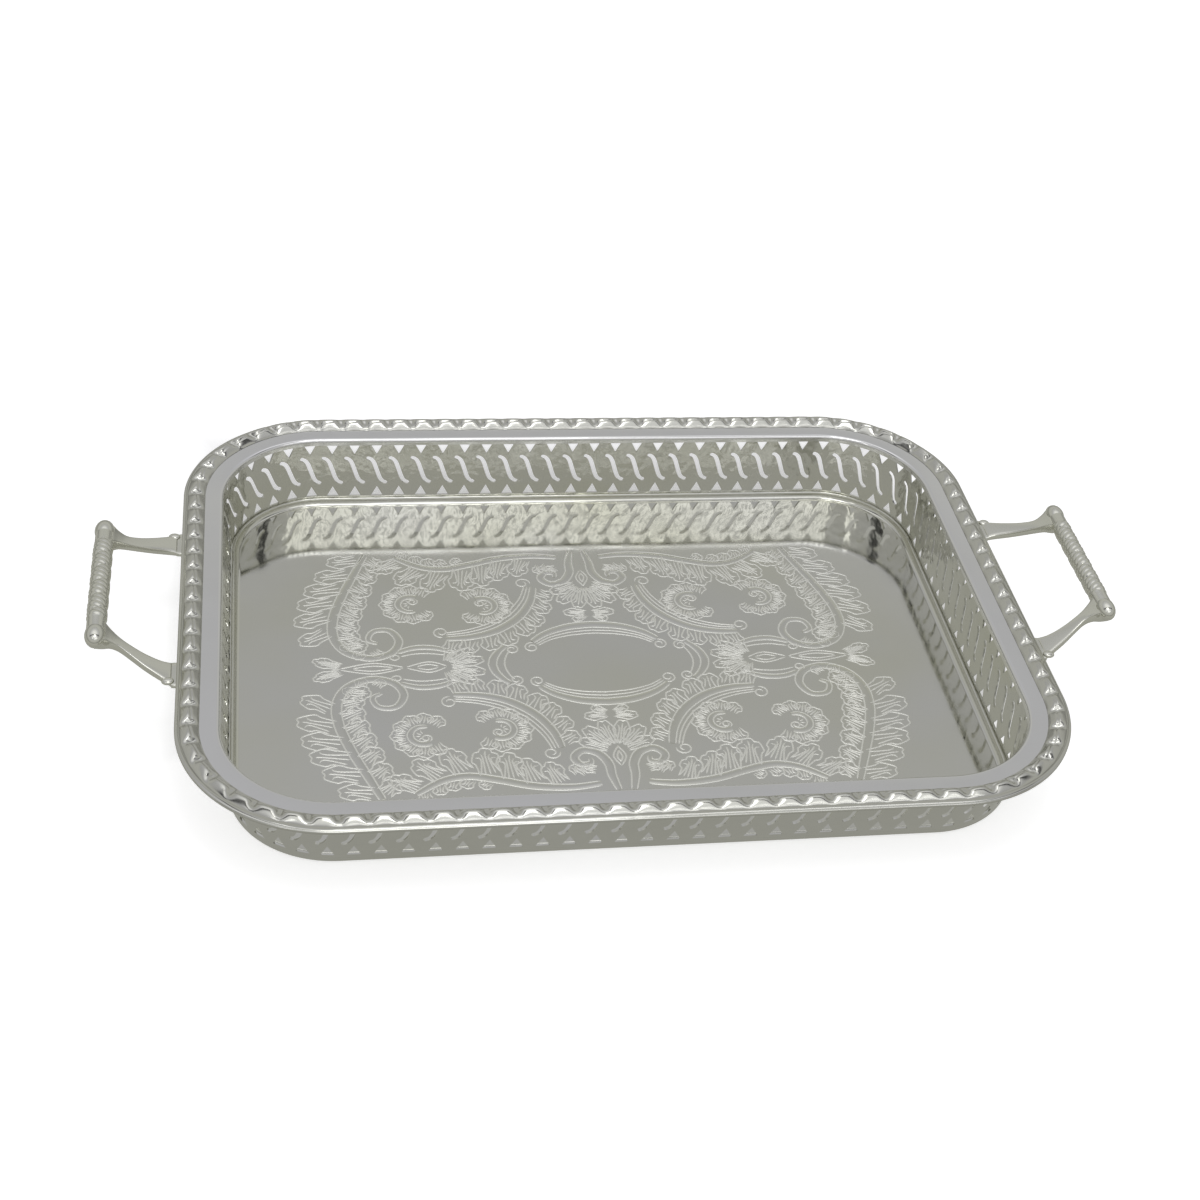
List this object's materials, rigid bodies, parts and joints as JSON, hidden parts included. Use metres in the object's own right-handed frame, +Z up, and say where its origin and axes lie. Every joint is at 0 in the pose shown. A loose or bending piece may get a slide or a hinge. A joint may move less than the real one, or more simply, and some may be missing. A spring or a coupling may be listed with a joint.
{
  "type": "vanity tray",
  "caption": "Rectangular silver-plated vanity tray with rounded corners, a pierced gallery wall, a gadroon border and two raised bar handles.",
  "frame": {"origin": "on the table under the centre of the tray's floor", "axes": "+X towards the right handle, +Y towards the back long side, +Z up"},
  "size_m": [0.3936, 0.252, 0.0468],
  "materials": {
    "polished_pan": "mirror-polished silver plate, chased ornament",
    "pierced_gallery": "polished silver plate, stamped piercing",
    "polished_flange": "mirror-polished silver plate",
    "gadroon_border": "polished silver plate over a stamped border",
    "grip": "silver plate over a cast bar with a raised pattern",
    "handle_arm": "polished silver plate over a cast bracket",
    "rivet": "plated rivet head, unpolished"
  },
  "bodies": {
    "root": {"pan_floor": "polished_pan", "pan_wall_front_right": "polished_pan", "pan_wall_back_right": "polished_pan", "pan_wall_back_left": "polished_pan", "pan_wall_front_left": "polished_pan", "gallery_front": "pierced_gallery", "gallery_right": "pierced_gallery", "gallery_back": "pierced_gallery", "gallery_left": "pierced_gallery", "gallery_corner_front_right": "pierced_gallery", "gallery_corner_back_right": "pierced_gallery", "gallery_corner_back_left": "pierced_gallery", "gallery_corner_front_left": "pierced_gallery", "flange_front_right": "polished_flange", "flange_back_right": "polished_flange", "flange_back_left": "polished_flange", "flange_front_left": "polished_flange", "border_front_right": "gadroon_border", "border_back_right": "gadroon_border", "border_back_left": "gadroon_border", "border_front_left": "gadroon_border", "right_grip": "grip", "right_arm_back": "handle_arm", "right_arm_front": "handle_arm", "left_grip": "grip", "left_arm_back": "handle_arm", "left_arm_front": "handle_arm", "foot_rivet_1": "rivet", "foot_rivet_2": "rivet", "foot_rivet_3": "rivet", "foot_rivet_4": "rivet", "foot_rivet_5": "rivet", "foot_rivet_6": "rivet", "foot_rivet_7": "rivet", "foot_rivet_8": "rivet"}
  },
  "joints": []
}
